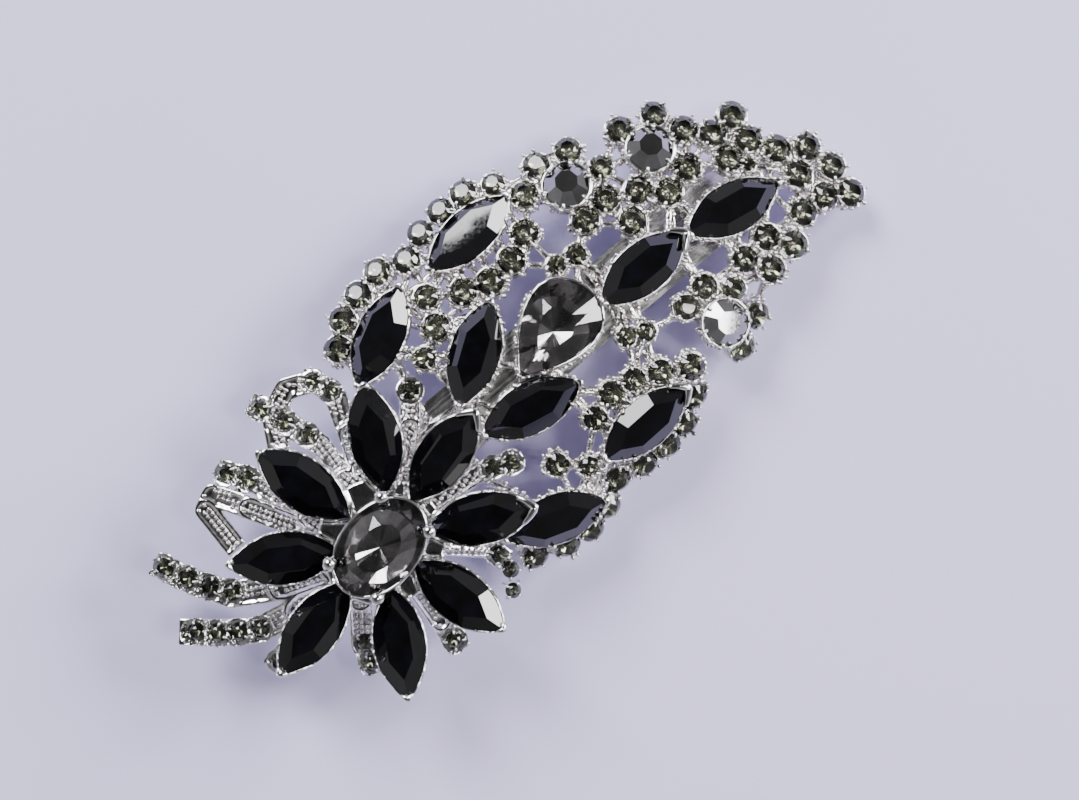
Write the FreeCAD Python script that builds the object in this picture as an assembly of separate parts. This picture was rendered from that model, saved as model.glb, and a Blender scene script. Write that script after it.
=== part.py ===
import FreeCAD, Part
import math
import os

# Feather and flower ornament set with stones, on an automatic barrette.
# Millimetres. +X runs along the feather to its tip, +Z is the stone side, and the
# origin is under the middle of the overall box, on the plane that the arm rests on.

V = FreeCAD.Vector

# ---- barrette -------------------------------------------------------------
PLATE_RADIUS = 140.0        # bending radius of the arched base plate
PLATE_TOP = 10.0            # crest of the base plate
PLATE_THICK = 1.0
PLATE_WIDTH = 9.4
PLATE_HINGE_END = -36.8
PLATE_CLASP_END = 42.0
EAR_THICK = 0.6
PIN_X = -38.5
PIN_Z = 2.4
PIN_RADIUS = 0.6
RUNNING_GAP = 0.05          # radial clearance of everything that turns
ARM_THICK = 0.8
ARM_WIDTH = 6.0
ARM_RISE = 0.6              # how far the arm bows up between its flat feet
ARM_FOOT_X = 33.0           # the feet are flat beyond this distance from the middle
ARM_END = 45.0
BARREL_RADIUS = 1.35
BARREL_INNER = 1.3          # the arm's two knuckles lie between these distances
BARREL_OUTER = 3.9          # from the long axis
WINDOW = (35.2, 41.2, 3.05)  # start, end and half width of the arm's window
BOW_THICK = 0.4
BOW_WIDTH = 5.0
BOW_GAP = 1.6               # resting gap between the tension bow and the plate
CLASP_WALLS = (35.0, 41.0)
CLASP_WALL_THICK = 0.6
PRONG_Y = 2.4
PRONG_Z = 2.4
PRONG_PIN_RADIUS = 0.4
RIVET_X = (-14.0, 14.0)
RIVET_RADIUS = 1.0
RIVET_TOP = 10.15
LUG_Z = 9.35                # underside of the casting's lugs on the rivets

# ---- ornament -------------------------------------------------------------
DOME_TOP = 12.0             # girdle height of a stone at the middle of the feather
DOME_LENGTH_RADIUS = 220.0
DOME_WIDTH_RADIUS = 65.0
WALL = 0.4                  # wall of a stone cup
SEAT_GAP = 0.04             # clearance between a stone and its cup
BAR_RADIUS = 0.55
NAVETTE_LONG = 7.35         # half length and half width of a black navette
NAVETTE_WIDE = 3.35
NAVETTE_GIRDLE = 0.6
NAVETTE_CROWN = 1.5
ROUND_RADIUS = 3.2          # the three round metallic stones
CHATON_RADIUS = 1.85
FLOWER_X = -25.6            # middle of the flower
FLOWER_Y = -5.8
ROOT_Z = 9.2                # underside of the feather's root plate
ROOT_THICK = 1.0
ROOT_RADIUS = 5.5
HUB_RADIUS = 7.5
PETAL_GIRDLE = 14.4         # girdle height at a petal's middle
PETAL_RISE = 9.0            # degrees that a petal climbs outwards
OVAL_GIRDLE = 16.3

# Petal stones: middle of the stone and the direction of its outer tip, degrees
PETALS = (
    (-36.6, 0.7, 146), (-28.5, 6.5, 104), (-17.4, 5.1, 61), (-12.0, -2.4, 14),
    (-13.5, -11.9, -27), (-22.2, -17.8, -76), (-32.2, -17.5, -120), (-39.5, -8.8, 194),
)
# Leaf stones: middle, direction, and how far the stone is set above the dome
LEAVES = (
    (-6.2, -18.5, -20, 0.6), (11.3, -16.4, 1.5, 0.6), (0.9, -5.0, -12, 0.2),
    (-0.2, 5.4, 34, 0.0), (-8.5, 15.4, 28, 0.2), (9.5, 18.4, 4, 0.2),
    (24.4, -0.3, 0, 0.3), (39.1, -1.8, -10, 0.0),
)
ROUNDS = ((23.8, 14.9), (35.7, 11.5), (28.3, -13.0))
PEAR = (9.6, 0.9, 14)       # middle and direction of the round end
OVAL = (-25.9, -6.2, 10)

# Rhinestones: x, y and, where it is a small one, its radius
UPPER_RIM = (
    (-13.9, 17.9), (-11.0, 20.6), (-7.2, 21.9), (-3.2, 22.6), (0.8, 21.2),
    (4.6, 22.8), (8.6, 23.4), (12.5, 23.3), (16.4, 21.6, 1.6), (18.7, 17.7),
    (22.5, 19.8), (27.1, 18.6), (34.3, 16.3), (39.3, 14.9, 1.75), (41.0, 10.7),
    (43.7, 7.7), (47.5, 8.0),
)
INNER_UPPER = (
    (-0.3, 15.5, 1.7), (3.9, 12.8), (7.6, 11.5), (11.6, 11.9), (15.3, 13.6),
    (-1.9, 11.5), (-5.7, 9.3, 1.5), (22.7, 9.7), (26.6, 10.2), (29.0, 13.9, 1.6),
    (30.8, 8.2), (27.5, 5.5), (33.8, 5.4), (38.0, 6.4),
    (15.8, 7.5, 1.3), (18.7, 6.9, 1.4),
)
TIP = (
    (43.1, 3.7), (47.0, 4.1), (49.2, 0.5), (44.7, 1.4, 0.9), (52.7, -1.9),
    (49.3, -4.0), (53.8, -6.2, 1.8), (46.4, -8.4), (50.2, -8.6), (53.5, -10.6, 1.9),
)
INNER_LOWER = (
    (42.6, -11.0), (40.2, -7.8, 1.8), (38.0, -11.6), (35.9, -8.2, 1.8), (32.2, -10.3, 1.6),
    (29.3, -7.5, 1.7), (25.6, -8.1, 1.7), (21.0, -14.7), (17.3, -12.5, 1.7),
    (13.9, -11.0, 1.6), (10.4, -10.5, 1.7), (6.6, -11.6, 1.6), (-1.3, -13.1, 1.6),
    (1.8, -16.0, 1.4), (16.8, -5.9, 1.35), (19.3, -7.1, 1.3),
)
LOWER_RIM = (
    (32.6, -15.2), (28.2, -17.4), (18.9, -18.2), (15.5, -20.2), (11.9, -21.0),
    (7.9, -20.9), (3.6, -20.1), (0.3, -22.1), (-3.5, -23.1), (-7.4, -22.6), (-11.6, -21.0),
)
RIM_TILT = 36.0             # degrees that the stones of the lower rim lean outwards
RIM_DROP = 2.6              # and how far they sit below the dome

# Ribbon bow: each band is its width and its middle line (x, y, z of the upper face)
RIBBONS = (
    (3.2, ((-54.8, 2.3, 8.0), (-50.6, -1.4, 8.4), (-46.2, -4.3, 9.2), (-40.5, -5.6, 10.6), (-33, -5.8, 11.2))),
    (3.2, ((-51.4, 11.6, 8.0), (-49.2, 6.6, 8.8), (-45.8, 1.6, 9.6), (-40.1, -1.8, 10.6), (-33, -4.4, 11.2))),
    (2.6, ((-41.4, 6.0, 10.0), (-41.4, 12.6, 9.2), (-39.4, 13.6, 9.0), (-36.6, 9.0, 10.2), (-32, 1.0, 11.2))),
    (2.8, ((-36.8, 15.4, 8.2), (-34.2, 12.4, 9.0), (-32.2, 6.6, 10.2), (-31.0, 3.0, 11.2), (-29.5, 0.0, 11.2))),
    (2.8, ((-27.7, 19.8, 8.2), (-25.8, 15.4, 8.8), (-24.0, 9.6, 10.0), (-24.3, 3.4, 11.2), (-24.4, 0.0, 11.2))),
    (2.6, ((-28.6, 12.6, 9.4), (-26.4, 16.6, 9.0), (-22.8, 18.2, 8.8), (-19.2, 16.6, 8.8),
           (-18.2, 13.2, 9.4), (-20.0, 8.0, 10.4), (-21.6, 3.4, 11.2), (-23.0, 0.0, 11.2))),
    (2.4, ((-9.6, 7.6, 11.0), (-13.2, 3.4, 11.2), (-16.4, 0.6, 11.2), (-20.4, -2.4, 11.2))),
    (2.8, ((-20.6, -10.4, 11.2), (-15.4, -15.4, 9.8), (-14.8, -19.6, 8.4), (-17.2, -23.2, 7.6))),
    (2.6, ((-27.4, -23.8, 7.6), (-26.8, -19.0, 9.2), (-26.0, -12.0, 11.2))),
    (3.0, ((-38.2, -18.6, 8.0), (-36.4, -14.4, 9.4), (-32.9, -9.8, 11.2), (-29.0, -7.4, 11.2))),
    (2.6, ((-48.2, -9.4, 8.4), (-42.0, -8.2, 10.0), (-34.0, -6.6, 11.2))),
    (2.2, ((-5.4, -9.1, 10.8), (-9.5, -7.2, 11.2), (-20.0, -6.0, 11.2))),
)
RIBBON_THICK = 1.0
KNEE_SHARE = 0.97            # a band's round joints are this much narrower than the band
BOW_STONES = (
    (-53.2, 0.9, 1.3), (-51.1, -1.0, 1.3), (-48.7, -2.8, 1.3), (-46.1, -4.3, 1.2),
    (-51.0, 10.4, 1.3), (-49.5, 7.2, 1.3), (-47.8, 4.4, 1.3), (-45.8, 2.0, 1.2),
    (-36.4, 14.8, 1.2), (-34.6, 12.3, 1.2), (-27.2, 18.6, 1.2), (-25.7, 15.1, 1.2),
    (-24.4, 11.6, 1.1), (-19.3, 16.9, 1.1), (-18.3, 14.2, 1.1), (-15.0, -17.4, 1.2),
    (-15.2, -19.9, 1.2), (-16.8, -22.3, 1.1), (-27.2, -22.4, 1.2), (-36.5, -14.9, 1.2),
    (-37.7, -17.5, 1.1), (-47.3, -9.3, 1.2), (-9.9, 7.3, 1.3), (-8.0, -7.8, 1.1), (-5.7, -8.9, 1.2),
)


# ---- small helpers ---------------------------------------------------------
def box(x0, x1, y0, y1, z0, z1):
    return Part.makeBox(x1 - x0, y1 - y0, z1 - z0, V(x0, y0, z0))


def rod(start, end, radius):
    along = V(*end) - V(*start)
    return Part.makeCylinder(radius, along.Length, V(*start), along)


def dome(x, y):
    return DOME_TOP - x * x / (2 * DOME_LENGTH_RADIUS) - y * y / (2 * DOME_WIDTH_RADIUS)


def dome_normal(x, y):
    return V(x / DOME_LENGTH_RADIUS, y / DOME_WIDTH_RADIUS, 1.0)


def stand(x, y, z, normal, turn=0.0):
    """Placement that stands a stone at a point, along a normal, turned about it."""
    upright = FreeCAD.Rotation(V(0, 0, 1), normal)
    return FreeCAD.Placement(V(x, y, z), upright.multiply(FreeCAD.Rotation(V(0, 0, 1), turn)))


def placed(shape, placement):
    moved = shape.copy()
    moved.Placement = placement
    return moved


def polyhedron(faces):
    shell = Part.Shell([Part.Face(Part.makePolygon(list(f) + [f[0]])) for f in faces])
    solid = Part.Solid(shell)
    if solid.Volume < 0:
        solid.reverse()
    return solid


def arch_strip(x0, x1, top, thick, width, radius):
    """Strip bent about the Y axis, its crest at x = 0."""
    def at(x, r):
        return V(x, 0, top - radius + math.sqrt(r * r - x * x))
    inner = radius - thick
    mid = (x0 + x1) / 2
    edges = [
        Part.Arc(at(x0, radius), at(mid, radius), at(x1, radius)).toShape(),
        Part.LineSegment(at(x1, radius), at(x1, inner)).toShape(),
        Part.Arc(at(x1, inner), at(mid, inner), at(x0, inner)).toShape(),
        Part.LineSegment(at(x0, inner), at(x0, radius)).toShape(),
    ]
    face = Part.Face(Part.Wire(edges))
    face.translate(V(0, -width / 2, 0))
    return face.extrude(V(0, width, 0))


def strip_top(x, top, radius=PLATE_RADIUS):
    return top - radius + math.sqrt(radius * radius - x * x)


# ---- stones ----------------------------------------------------------------
def faceted(outline, crown, girdle, pavilion, table):
    """Brilliant cut on any outline: table, star, kite and girdle facets over a point."""
    count = len(outline) // 2
    rim = [V(x, y, 0) for x, y in outline]
    foot = [V(x, y, -girdle) for x, y in outline]
    tops = [V(rim[2 * i + 1].x * table, rim[2 * i + 1].y * table, crown) for i in range(count)]
    reach = (1 + table) / 2
    drop = crown * (1 - reach * math.cos(math.pi / (2 * count))) / (1 - table)
    mids = [V(rim[2 * i].x * reach, rim[2 * i].y * reach, drop) for i in range(count)]
    culet = V(0, 0, -girdle - pavilion)
    faces = [tops]
    for i in range(count):
        j = (i + 1) % count
        faces.append((tops[i - 1], mids[i], tops[i]))
        faces.append((tops[i], mids[i], rim[2 * i + 1]))
        faces.append((tops[i], rim[2 * i + 1], mids[j]))
        faces.append((mids[i], rim[2 * i], rim[2 * i + 1]))
        faces.append((mids[i], rim[2 * i - 1], rim[2 * i]))
    for i in range(2 * count):
        j = (i + 1) % (2 * count)
        faces.append((rim[i], foot[i], foot[j], rim[j]))
        faces.append((foot[i], culet, foot[j]))
    return polyhedron(faces)


def ellipse_points(rx, ry, count):
    step = 2 * math.pi / count
    return [(rx * math.cos(i * step), ry * math.sin(i * step)) for i in range(count)]


def teardrop_points(half_long, half_wide, count):
    """Pointed at -x, round at +x."""
    swell = half_wide / 0.77
    points = []
    for i in range(count):
        t = 2 * math.pi * i / count
        points.append((-half_long * math.cos(t), -swell * math.sin(t) * abs(math.sin(t / 2))))
    return points


def shave(solid, direction, distance, height, slope):
    """Cut one flat facet: the plane passes the given distance out, at the given height."""
    a = math.radians(direction)
    s = math.radians(slope)
    outward = V(math.cos(a), math.sin(a), 0)
    normal = outward * math.sin(s) + V(0, 0, math.cos(s))
    block = Part.makeBox(60, 60, 30, V(-30, -30, 0))
    spot = outward * distance + V(0, 0, height)
    block.Placement = FreeCAD.Placement(spot, FreeCAD.Rotation(V(0, 0, 1), normal))
    return solid.cut(block)


def lens_prism(half_long, half_wide, z0, z1):
    """Upright prism whose outline is two arcs that meet in points."""
    tip, tail = V(half_long, 0, z0), V(-half_long, 0, z0)
    upper = Part.Arc(tip, V(0, half_wide, z0), tail).toShape()
    lower = Part.Arc(tail, V(0, -half_wide, z0), tip).toShape()
    return Part.Face(Part.Wire([upper, lower])).extrude(V(0, 0, z1 - z0))


def navette_stone():
    stone = lens_prism(NAVETTE_LONG, NAVETTE_WIDE, -NAVETTE_GIRDLE, NAVETTE_CROWN)
    arc = (NAVETTE_LONG ** 2 + NAVETTE_WIDE ** 2) / (2 * NAVETTE_WIDE)
    slope, fan = 41.0, 32.0
    for side in (90, -90):
        for swing in (-fan, 0, fan):
            reach = arc + (NAVETTE_WIDE - arc) * math.cos(math.radians(swing))
            stone = shave(stone, side + swing, reach, 0, slope)
    return stone


def round_stone():
    """Metallic round stone: eight broad facets and a flat table over a cone."""
    crown, girdle, cone = 1.5, 0.3, 1.1
    stone = Part.makeCylinder(ROUND_RADIUS, crown + girdle, V(0, 0, -girdle))
    for i in range(8):
        stone = shave(stone, 45 * i + 10, ROUND_RADIUS - 0.1, 0, 43.0)
    base = Part.makeCone(1.6, ROUND_RADIUS, cone, V(0, 0, -girdle - cone))
    return stone.fuse(base).removeSplitter()


def chaton(radius):
    return faceted(ellipse_points(radius, radius, 16), 0.42 * radius, 0.08 * radius, 0.6 * radius, 0.52)


def chaton_places(group, lower_rim=False):
    """(placement, radius) of each rhinestone of a group on the feather."""
    places = []
    for stone in group:
        x, y = stone[0], stone[1]
        radius = stone[2] if len(stone) > 2 else CHATON_RADIUS
        normal = dome_normal(x, y)
        z = dome(x, y)
        if lower_rim:
            normal = V(0.1 * math.sin(x), -math.tan(math.radians(RIM_TILT)), 1)
            z -= RIM_DROP
        places.append((stand(x, y, z, normal, 20 * math.sin(3 * x + y)), radius))
    return places


def ribbon_height(x, y):
    """Height of the ribbon's upper face that is nearest a point."""
    best = None
    for width, line in RIBBONS:
        for (x0, y0, z0), (x1, y1, z1) in zip(line, line[1:]):
            span = (x1 - x0) ** 2 + (y1 - y0) ** 2
            t = max(0, min(1, ((x - x0) * (x1 - x0) + (y - y0) * (y1 - y0)) / span))
            away = math.hypot(x - x0 - t * (x1 - x0), y - y0 - t * (y1 - y0))
            if best is None or away < best[0]:
                best = (away, z0 + t * (z1 - z0))
    return best[1]


def bow_places():
    places = []
    for x, y, radius in BOW_STONES:
        normal = V((x - FLOWER_X) / 90, (y - FLOWER_Y) / 90, 1)
        places.append((stand(x, y, ribbon_height(x, y) + 0.1, normal), radius))
    return places


# ---- cups and pockets --------------------------------------------------------
def chaton_cup(radius):
    depth = 0.68 * radius
    return Part.makeCylinder(radius + WALL, depth + 0.75, V(0, 0, -depth - 0.6))


def chaton_pocket(radius):
    depth = 0.68 * radius
    return Part.makeCylinder(radius + SEAT_GAP, depth + 2.0, V(0, 0, -depth))


def navette_cup():
    return lens_prism(NAVETTE_LONG + WALL, NAVETTE_WIDE + WALL * 0.8, -NAVETTE_GIRDLE - 0.6, 0.1)


def navette_pocket():
    return lens_prism(NAVETTE_LONG + 2 * SEAT_GAP, NAVETTE_WIDE + SEAT_GAP, -NAVETTE_GIRDLE, 3.0)


def round_cup():
    return Part.makeCylinder(ROUND_RADIUS + WALL, 2.1, V(0, 0, -2.0))


def round_pocket():
    return Part.makeCylinder(ROUND_RADIUS + SEAT_GAP, 4.0, V(0, 0, -1.4))


def prism(points, z0, z1):
    base = [V(x, y, z0) for x, y in points]
    return Part.Face(Part.makePolygon(base + [base[0]])).extrude(V(0, 0, z1 - z0))


def petal_places():
    places = []
    rise = math.tan(math.radians(PETAL_RISE))
    for x, y, angle in PETALS:
        a = math.radians(angle)
        normal = V(-math.cos(a) * rise, -math.sin(a) * rise, 1)
        places.append(stand(x, y, PETAL_GIRDLE, normal, angle))
    return places


def leaf_places():
    return [stand(x, y, dome(x, y) + up, dome_normal(x, y), angle) for x, y, angle, up in LEAVES]


def round_places():
    return [stand(x, y, dome(x, y) + 0.2, dome_normal(x, y)) for x, y in ROUNDS]


def pear_place():
    x, y, angle = PEAR
    return stand(x, y, dome(x, y) + 0.6, dome_normal(x, y), angle)


def oval_place():
    x, y, angle = OVAL
    return stand(x, y, OVAL_GIRDLE, V(0, 0, 1), angle)


PEAR_OUTLINE = teardrop_points(7.4, 5.2, 24)
OVAL_OUTLINE = ellipse_points(7.2, 5.0, 24)
PEAR_DEPTH = 1.5
OVAL_DEPTH = 1.3


def grown(points, extra):
    return [(x * (1 + extra / math.hypot(x, y)), y * (1 + extra / math.hypot(x, y))) for x, y in points]


FEATHER_GROUPS = {
    "upper_rim_rhinestones": chaton_places(UPPER_RIM),
    "inner_upper_rhinestones": chaton_places(INNER_UPPER),
    "tip_rhinestones": chaton_places(TIP),
    "inner_lower_rhinestones": chaton_places(INNER_LOWER),
    "lower_rim_rhinestones": chaton_places(LOWER_RIM, True),
}


# ---- castings ----------------------------------------------------------------
def lattice_bars(places):
    """Bars that join neighbouring cups, and each cup to the leaf stones beside it."""
    bars = []
    lows = [p.multVec(V(0, 0, -1.0)) for p, radius in places]
    for i, a in enumerate(lows):
        for b in lows[i + 1:]:
            if (a - b).Length < 5.0:
                bars.append(rod(a, b, BAR_RADIUS))
    anchors = []
    for place in leaf_places():
        anchors += [place.multVec(V(s, 0, -0.9)) for s in (-4.6, 0, 4.6)]
    anchors += [p.multVec(V(0, 0, -1.6)) for p in round_places()]
    anchors += [pear_place().multVec(V(s, 0, -1.6)) for s in (-4.0, 0, 3.0)]
    for a in anchors:
        near = sorted(lows, key=lambda low: (low - a).Length)[:3]
        bars += [rod(a, b, BAR_RADIUS) for b in near if (a - b).Length < 7.5]
    return bars


def joined(shapes):
    return shapes[0].multiFuse(shapes[1:])


def feather_casting():
    chatons = [item for group in FEATHER_GROUPS.values() for item in group]
    solids = [placed(chaton_cup(r), p) for p, r in chatons]
    solids += [placed(navette_cup(), p) for p in leaf_places()]
    solids += [placed(round_cup(), p) for p in round_places()]
    solids.append(placed(prism(grown(PEAR_OUTLINE, WALL), -PEAR_DEPTH - 0.8, 0.1), pear_place()))
    solids += lattice_bars(chatons)
    # root plate under the flower, and the arms that carry the leaf stones from it
    solids.append(Part.makeCylinder(ROOT_RADIUS, ROOT_THICK, V(FLOWER_X, FLOWER_Y, ROOT_Z)))
    solids.append(box(FLOWER_X, -9, -6, 2.2, ROOT_Z, ROOT_Z + ROOT_THICK))
    for x, y, z in ((-6.2, -17.5, 9.4), (0.9, -5.0, 10.6), (-0.2, 5.4, 10.4), (-8.5, 14.4, 9.4)):
        solids.append(rod((-12, -3, ROOT_Z + 0.1), (x, y, z), 0.7))
    for x in RIVET_X:
        top = ROOT_Z + ROOT_THICK if x < 0 else dome(x, 0) - 1.0
        solids.append(Part.makeCylinder(2.2, top - LUG_Z, V(x, 0, LUG_Z)))
    body = joined(solids)
    pockets = [placed(chaton_pocket(r), p) for p, r in chatons]
    pockets += [placed(navette_pocket(), p) for p in leaf_places()]
    pockets += [placed(round_pocket(), p) for p in round_places()]
    pockets.append(placed(prism(grown(PEAR_OUTLINE, SEAT_GAP), -PEAR_DEPTH - 0.1, 4.0), pear_place()))
    # room for the base plate, the bow and the flower, which lie on this casting
    pockets += [placed(Part.makeCylinder(r + 0.5, 4, V(0, 0, -0.68 * r - 0.65)), p) for p, r in bow_places()[-3:]]
    pockets.append(arch_strip(-46, 46, PLATE_TOP + 0.02, 9.0, PLATE_WIDTH + 0.6, PLATE_RADIUS))
    pockets.append(Part.makeCylinder(HUB_RADIUS + 0.2, 8, V(FLOWER_X, FLOWER_Y, ROOT_Z + ROOT_THICK)))
    for x in RIVET_X:
        pockets.append(Part.makeCylinder(RIVET_RADIUS + 0.02, 1.6, V(x, 0, 9.0)))
    pockets.append(Part.makeCylinder(RIVET_RADIUS + 0.02, 3, V(FLOWER_X, FLOWER_Y, ROOT_Z - 1)))
    return body.cut(pockets)


def ribbon(width, line):
    """One band: flat runs with round joints."""
    parts = []
    for a, b in zip(line, line[1:]):
        start, along = V(*a), V(*b) - V(*a)
        run = box(0, along.Length, -width / 2, width / 2, -RIBBON_THICK, 0)
        flat = FreeCAD.Rotation(V(0, 0, 1), math.degrees(math.atan2(along.y, along.x)))
        dip = FreeCAD.Rotation(V(0, 1, 0), -math.degrees(math.asin(along.z / along.Length)))
        parts.append(placed(run, FreeCAD.Placement(start, flat.multiply(dip))))
        knee = V(b[0], b[1], b[2] - RIBBON_THICK)
        parts.append(Part.makeCylinder(KNEE_SHARE * width / 2, RIBBON_THICK, knee))
    return parts


def bow_casting():
    solids = [Part.makeCylinder(HUB_RADIUS, 1.0, V(FLOWER_X, FLOWER_Y, ROOT_Z + ROOT_THICK))]
    for width, line in RIBBONS:
        solids += ribbon(width, line)
    body = joined([joined(solids)] + [placed(chaton_cup(r), p) for p, r in bow_places()])
    pockets = [placed(chaton_pocket(r), p) for p, r in bow_places()]
    pockets.append(Part.makeCylinder(RIVET_RADIUS + 0.02, 4, V(FLOWER_X, FLOWER_Y, ROOT_Z)))
    return body.cut(pockets)


def flower_casting():
    hub_z = ROOT_Z + ROOT_THICK + 1.0
    solids = [Part.makeCylinder(HUB_RADIUS + 1.0, 1.9, V(FLOWER_X, FLOWER_Y, hub_z))]
    solids += [placed(navette_cup(), p) for p in petal_places()]
    solids.append(placed(prism(grown(OVAL_OUTLINE, WALL), -OVAL_DEPTH - 0.5, 0.1), oval_place()))
    solids.append(Part.makeCylinder(2.4, OVAL_GIRDLE - 1.6 - hub_z, V(FLOWER_X, FLOWER_Y, hub_z)))
    body = joined(solids)
    pockets = [placed(navette_pocket(), p) for p in petal_places()]
    pockets.append(placed(prism(grown(OVAL_OUTLINE, SEAT_GAP), -OVAL_DEPTH - 0.02, 4.0), oval_place()))
    pockets.append(Part.makeCylinder(RIVET_RADIUS + 0.02, 2.2, V(FLOWER_X, FLOWER_Y, hub_z - 1)))
    return body.cut(pockets)


# ---- barrette ------------------------------------------------------------------
def y_cylinder(x, z, radius, y0, y1):
    return Part.makeCylinder(radius, y1 - y0, V(x, y0, z), V(0, 1, 0))


def x_cylinder(y, z, radius, x0, x1):
    return Part.makeCylinder(radius, x1 - x0, V(x0, y, z), V(1, 0, 0))


def base_plate():
    plate = arch_strip(PLATE_HINGE_END, PLATE_CLASP_END, PLATE_TOP, PLATE_THICK, PLATE_WIDTH, PLATE_RADIUS)
    half = PLATE_WIDTH / 2
    parts = [plate]
    for side in (half - EAR_THICK, -half):
        parts.append(box(-40.2, -34.0, side, side + EAR_THICK, 1.3, 4.6))
    for x in CLASP_WALLS:
        parts.append(box(x, x + CLASP_WALL_THICK, -3.4, 3.4, 1.4, strip_top(x, PLATE_TOP) - 0.6))
    body = joined(parts)
    cuts = [y_cylinder(PIN_X, PIN_Z, PIN_RADIUS, -9, 9)]
    for side in (PRONG_Y, -PRONG_Y):
        cuts.append(x_cylinder(side, PRONG_Z, PRONG_PIN_RADIUS + RUNNING_GAP, 33, 44))
    for x in RIVET_X:
        cuts.append(Part.makeCylinder(RIVET_RADIUS, 8, V(x, 0, 5)))
    return body.cut(cuts)


def plate_rivets():
    rivets = []
    for x in RIVET_X:
        under = strip_top(abs(x) + 2, PLATE_TOP) - PLATE_THICK
        shank = Part.makeCylinder(RIVET_RADIUS, RIVET_TOP - under, V(x, 0, under))
        head = Part.makeCylinder(1.7, 0.2, V(x, 0, under - 0.2))
        rivets.append(shank.fuse(head))
    return Part.Compound(rivets)


def flower_rivet():
    bottom = ROOT_Z - 0.5
    head = Part.makeCylinder(1.8, 0.48, V(FLOWER_X, FLOWER_Y, bottom))
    return head.fuse(Part.makeCylinder(RIVET_RADIUS, 3.3, V(FLOWER_X, FLOWER_Y, bottom)))


def hinge_pin():
    return y_cylinder(PIN_X, PIN_Z, PIN_RADIUS, -PLATE_WIDTH / 2 - 0.3, PLATE_WIDTH / 2 + 0.3)


def tension_bow():
    top = PLATE_TOP - PLATE_THICK - BOW_GAP
    radius = PLATE_RADIUS - PLATE_THICK - BOW_GAP
    blade = arch_strip(-35.6, 33.6, top, BOW_THICK, BOW_WIDTH, radius)
    tongue = arch_strip(-38.2, -30, top, BOW_THICK, 2.0, radius)
    fork = box(PIN_X - 1.25, PIN_X + 1.25, -1, 1, 0.5, PIN_Z + 1.2)
    slot = box(PIN_X - 0.7, PIN_X + 0.7, -2, 2, 0, PIN_Z + 0.66)
    return joined([blade, tongue, fork]).cut(slot)


def locking_arm():
    half = ARM_FOOT_X
    def point(x, z):
        return V(x, 0, z)
    bottom = Part.Arc(point(-half, 0), point(0, ARM_RISE), point(half, 0)).toShape()
    top = Part.Arc(point(half, ARM_THICK), point(0, ARM_RISE + ARM_THICK), point(-half, ARM_THICK)).toShape()
    ends = [
        Part.LineSegment(point(half, 0), point(half, ARM_THICK)).toShape(),
        Part.LineSegment(point(-half, ARM_THICK), point(-half, 0)).toShape(),
    ]
    face = Part.Face(Part.Wire([bottom, ends[0], top, ends[1]]))
    face.translate(V(0, -ARM_WIDTH / 2, 0))
    parts = [
        face.extrude(V(0, ARM_WIDTH, 0)),
        box(-37.6, -half, -ARM_WIDTH / 2, ARM_WIDTH / 2, 0, ARM_THICK),
        box(half, ARM_END, -4.2, 4.2, 0, ARM_THICK),
    ]
    for y0 in (BARREL_INNER, -BARREL_OUTER):
        y1 = y0 + BARREL_OUTER - BARREL_INNER
        parts.append(y_cylinder(PIN_X, PIN_Z, BARREL_RADIUS, y0, y1))
        parts.append(box(PIN_X + 0.3, PIN_X + 1.9, max(y0, -3.0), min(y1, 3.0), 0.2, PIN_Z - 0.4))
    body = joined(parts)
    start, end, half_wide = WINDOW
    corner = 3.2
    cuts = [
        y_cylinder(PIN_X, PIN_Z, PIN_RADIUS + RUNNING_GAP, -9, 9),
        box(start, end, -half_wide, half_wide, -1, 2),
        box(-40, -36.4, -BARREL_INNER, BARREL_INNER, -1, 2),
    ]
    blunt = box(ARM_END - corner, ARM_END + 2, -6, 6, -1, 2)
    blunt = blunt.cut(Part.makeCylinder(4.2, 5, V(ARM_END - 4.2, 0, -2)))
    return body.cut(cuts + [blunt])


def clasp_prong(side):
    """Pinch prong, drawn for +Y and mirrored for -Y."""
    x0, x1 = CLASP_WALLS[0] + CLASP_WALL_THICK + 0.2, CLASP_WALLS[1] - 0.2
    parts = [
        box(x0, x1, PRONG_Y - 0.25, PRONG_Y + 0.25, 0.15, PRONG_Z),
        box(x0, x1, PRONG_Y, PRONG_Y + 0.45, 0.15, 0.45),
        box(x0 + 0.7, x1 - 0.7, PRONG_Y, PRONG_Y + 3.2, 1.5, 2.0),
        x_cylinder(PRONG_Y, PRONG_Z, 0.5, x0, x1),
        x_cylinder(PRONG_Y, PRONG_Z, PRONG_PIN_RADIUS, CLASP_WALLS[0], CLASP_WALLS[1] + CLASP_WALL_THICK),
    ]
    prong = joined(parts)
    return prong if side > 0 else prong.mirror(V(0, 0, 0), V(0, 1, 0))


# ---- all nodes -------------------------------------------------------------------
def rhinestones(places):
    return Part.Compound([placed(chaton(r), p) for p, r in places])


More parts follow.
